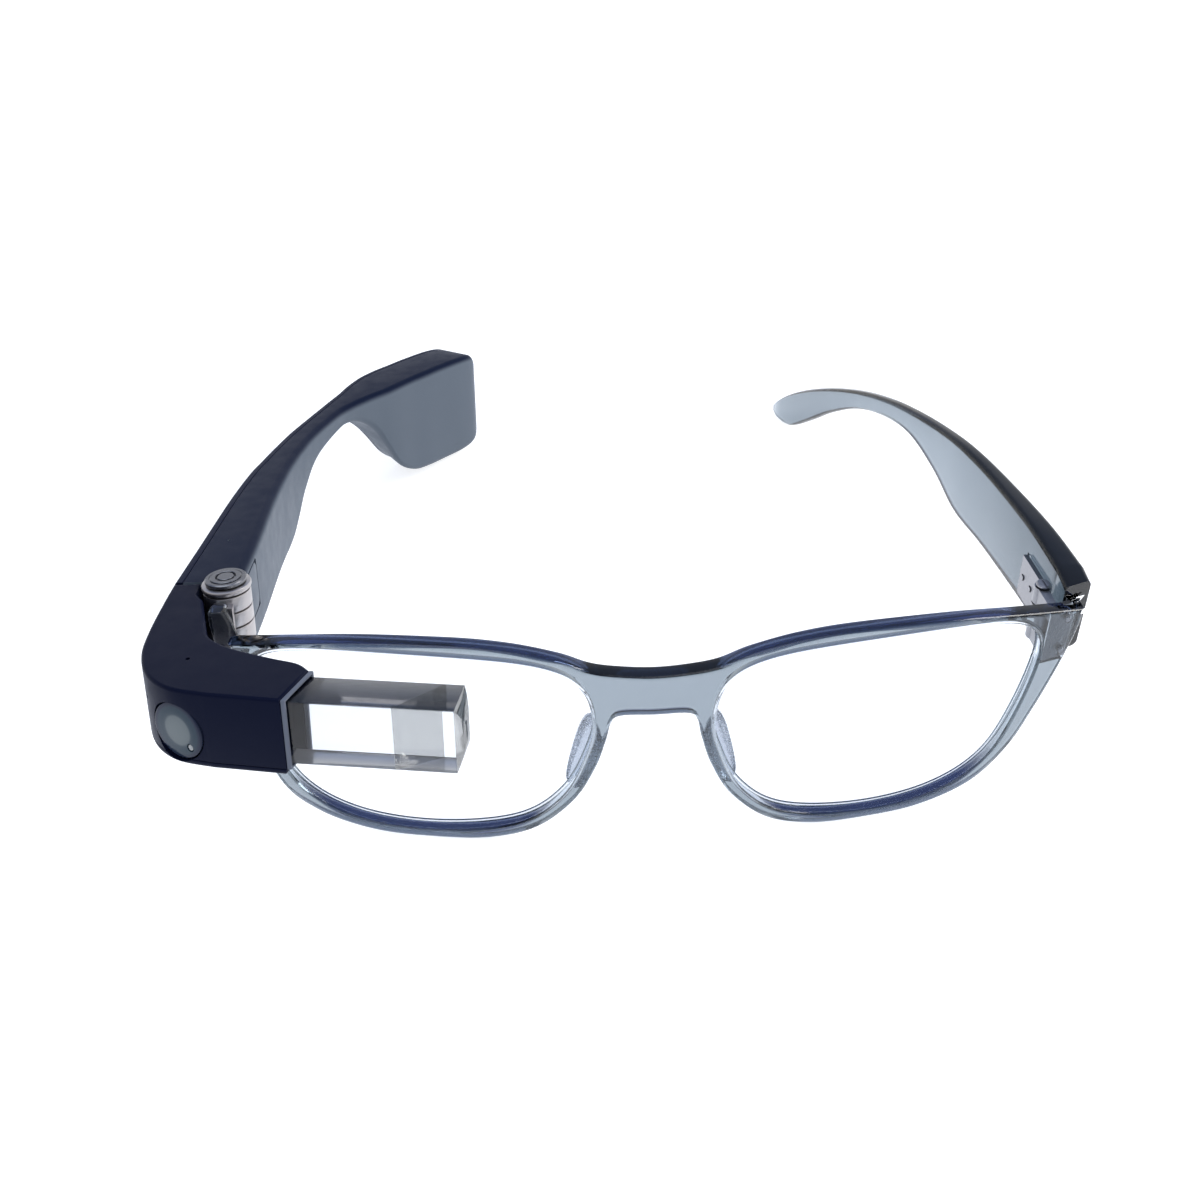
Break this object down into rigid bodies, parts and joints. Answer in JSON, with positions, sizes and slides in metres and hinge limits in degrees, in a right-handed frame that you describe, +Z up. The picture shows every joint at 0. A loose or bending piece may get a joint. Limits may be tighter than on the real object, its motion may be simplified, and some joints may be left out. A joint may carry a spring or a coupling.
{
  "type": "smart glasses",
  "caption": "Clear-framed smart glasses with one clear temple, an electronics pod as the other temple, and a glass display prism in front of the lens.",
  "frame": {"origin": "middle of the footprint of the open glasses, on the plane they rest on", "axes": "+X towards the wearer's left, -Y the way the wearer looks, +Z up"},
  "size_m": [0.1442, 0.1626, 0.0471],
  "materials": {
    "crystal_frame": "clear grey, polished",
    "crystal_temple": "clear grey, polished",
    "lens_plastic": "clear demonstration lens",
    "pad_silicone": "clear silicone",
    "hinge_steel": "satin",
    "hinge_cap": "turned, satin",
    "pod_plastic": "soft matte, near black with a navy cast",
    "touch_surface": "fine matte",
    "cover_plastic": "matte",
    "board_laminate": "solder mask",
    "chip_black": "moulded",
    "copper_flex": "polyimide film",
    "battery_foil": "pouch foil",
    "window_glass": "dark window with a grey-blue ring",
    "led_lens": "diffusing",
    "optical_glass": "polished",
    "mirror_coat": "coated"
  },
  "bodies": {
    "front": {"front_frame": "crystal_frame", "lens_left": "lens_plastic", "lens_right": "lens_plastic", "nose_pad_left": "pad_silicone", "nose_pad_right": "pad_silicone", "left_hinge_frame_leaf": "hinge_steel", "left_hinge_screw": "hinge_steel", "left_hinge_front_rivet_lower": "hinge_steel", "left_hinge_front_rivet_upper": "hinge_steel", "pod_hinge_cap": "hinge_cap", "pod_hinge_flange": "hinge_cap", "pod_hinge_frame_leaf": "hinge_steel", "pod_hinge_pin": "hinge_steel"},
    "temple": {"temple_left": "crystal_temple", "left_hinge_temple_leaf": "hinge_steel", "left_hinge_temple_rivet_front": "hinge_steel", "left_hinge_temple_rivet_rear": "hinge_steel"},
    "pod_arm": {"arm_shell": "pod_plastic", "touchpad_cover": "touch_surface", "battery_cover": "pod_plastic", "main_board": "board_laminate", "processor": "chip_black", "touch_sensor": "copper_flex", "speaker": "chip_black", "battery_cell": "battery_foil", "battery_cable": "copper_flex", "arm_microphone": "chip_black", "usb_port": "hinge_steel", "hinge_cover_plate": "pod_plastic", "pod_hinge_arm_leaf": "hinge_steel", "display_pivot_pin": "hinge_steel"},
    "display": {"display_housing": "pod_plastic", "housing_base_cover": "cover_plastic", "camera_window": "window_glass", "camera_module": "chip_black", "camera_board": "board_laminate", "capture_led": "led_lens", "prism_inner_block": "optical_glass", "prism_splitter": "mirror_coat", "prism_outer_block": "optical_glass", "prism_end_mirror": "mirror_coat", "prism_bezel": "cover_plastic", "display_engine": "chip_black", "front_microphone": "chip_black", "side_microphone": "chip_black"},
    "button": {"power_button": "pod_plastic"}
  },
  "joints": [
    {"name": "temple_fold", "type": "hinge", "parent": "front", "child": "temple", "pos_m": [0.0655, -0.04577, 0.03183], "axis": [0, 0, 1], "range_deg": [0, 80]},
    {"name": "pod_fold", "type": "hinge", "parent": "front", "child": "pod_arm", "pos_m": [-0.06385, -0.04472, 0.04363], "axis": [0, -0.1564, -0.9877], "range_deg": [0, 70]},
    {"name": "display_swivel", "type": "hinge", "parent": "pod_arm", "child": "display", "pos_m": [-0.06945, -0.04378, 0.04348], "axis": [0, 0.1564, 0.9877], "range_deg": [-5, 3]},
    {"name": "power_button_push", "type": "slide", "parent": "pod_arm", "child": "button", "axis": [-0.6018, -0.7888, 0.1249], "range_m": [0, 0.0006]}
  ]
}
